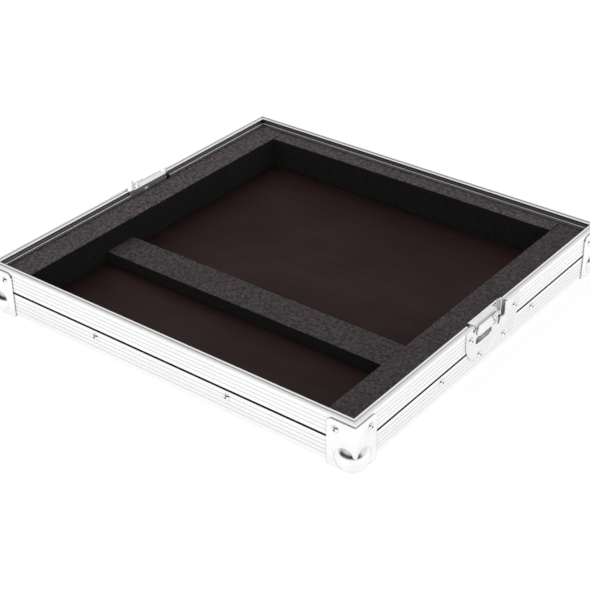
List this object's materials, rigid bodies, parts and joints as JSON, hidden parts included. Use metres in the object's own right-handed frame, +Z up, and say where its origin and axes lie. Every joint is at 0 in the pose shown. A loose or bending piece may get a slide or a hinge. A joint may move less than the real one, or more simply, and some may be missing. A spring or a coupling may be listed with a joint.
{
  "type": "guitar pedal case",
  "caption": "Shallow flight-case base tray for a floor pedal unit: plywood in ribbed aluminium extrusions, ball corners, recessed turn latches and foam supports.",
  "frame": {"origin": "middle of the footprint, on the surface that the ball feet stand on", "axes": "+X along the front wall towards the right latch, +Y from the front wall to the back wall, +Z up"},
  "size_m": [0.458, 0.445, 0.064],
  "materials": {
    "plywood": "satin phenolic film",
    "aluminium": "satin anodised, fine grooves",
    "corner_steel": "bright zinc plating",
    "latch_steel": "bright zinc plating",
    "rivet_steel": "bright",
    "foam": "open cell foam"
  },
  "bodies": {
    "tray": {"floor_panel": "plywood", "front_panel": "plywood", "back_panel": "plywood", "left_panel": "plywood", "right_panel": "plywood", "edge_front": "aluminium", "edge_right": "aluminium", "edge_back": "aluminium", "edge_left": "aluminium", "rim_front": "aluminium", "rim_back": "aluminium", "rim_right_front": "aluminium", "rim_right_back": "aluminium", "rim_left_front": "aluminium", "rim_left_back": "aluminium", "corner_front_left": "corner_steel", "corner_front_right": "corner_steel", "corner_back_left": "corner_steel", "corner_back_right": "corner_steel", "corner_rivets": "rivet_steel", "edge_rivets": "rivet_steel", "floor_rivets": "rivet_steel", "foam_left": "foam", "foam_right": "foam", "foam_back": "foam", "foam_strip": "foam", "right_latch_plate": "latch_steel", "right_latch_rivets": "rivet_steel", "left_latch_plate": "latch_steel", "left_latch_rivets": "rivet_steel"},
    "right_rotor": {"right_rotor": "latch_steel", "right_handle_pin": "rivet_steel"},
    "right_handle": {"right_handle": "latch_steel"},
    "right_hook": {"right_hook": "latch_steel"},
    "left_rotor": {"left_rotor": "latch_steel", "left_handle_pin": "rivet_steel"},
    "left_handle": {"left_handle": "latch_steel"},
    "left_hook": {"left_hook": "latch_steel"}
  },
  "joints": [
    {"name": "right_latch_turn", "type": "hinge", "parent": "tray", "child": "right_rotor", "pos_m": [0.2243, 0.0045, 0.049], "axis": [1, 0, 0], "range_deg": [0, 180]},
    {"name": "right_handle_fold", "type": "hinge", "parent": "right_rotor", "child": "right_handle", "pos_m": [0.226, 0.0045, 0.0553], "axis": [0, -1, 0], "range_deg": [0, 90]},
    {"name": "right_hook_lift", "type": "slide", "parent": "tray", "child": "right_hook", "axis": [0, 0, 1], "range_m": [-0.0064, 0]},
    {"name": "left_latch_turn", "type": "hinge", "parent": "tray", "child": "left_rotor", "pos_m": [-0.2243, 0.0045, 0.049], "axis": [-1, 0, 0], "range_deg": [0, 180]},
    {"name": "left_handle_fold", "type": "hinge", "parent": "left_rotor", "child": "left_handle", "pos_m": [-0.226, 0.0045, 0.0553], "axis": [0, 1, 0], "range_deg": [0, 90]},
    {"name": "left_hook_lift", "type": "slide", "parent": "tray", "child": "left_hook", "axis": [0, 0, 1], "range_m": [-0.0064, 0]}
  ],
  "couplings": [
    {"joint": "right_hook_lift", "follows": "right_latch_turn", "m_per_rad": -0.0020372},
    {"joint": "left_hook_lift", "follows": "left_latch_turn", "m_per_rad": -0.0020372}
  ]
}
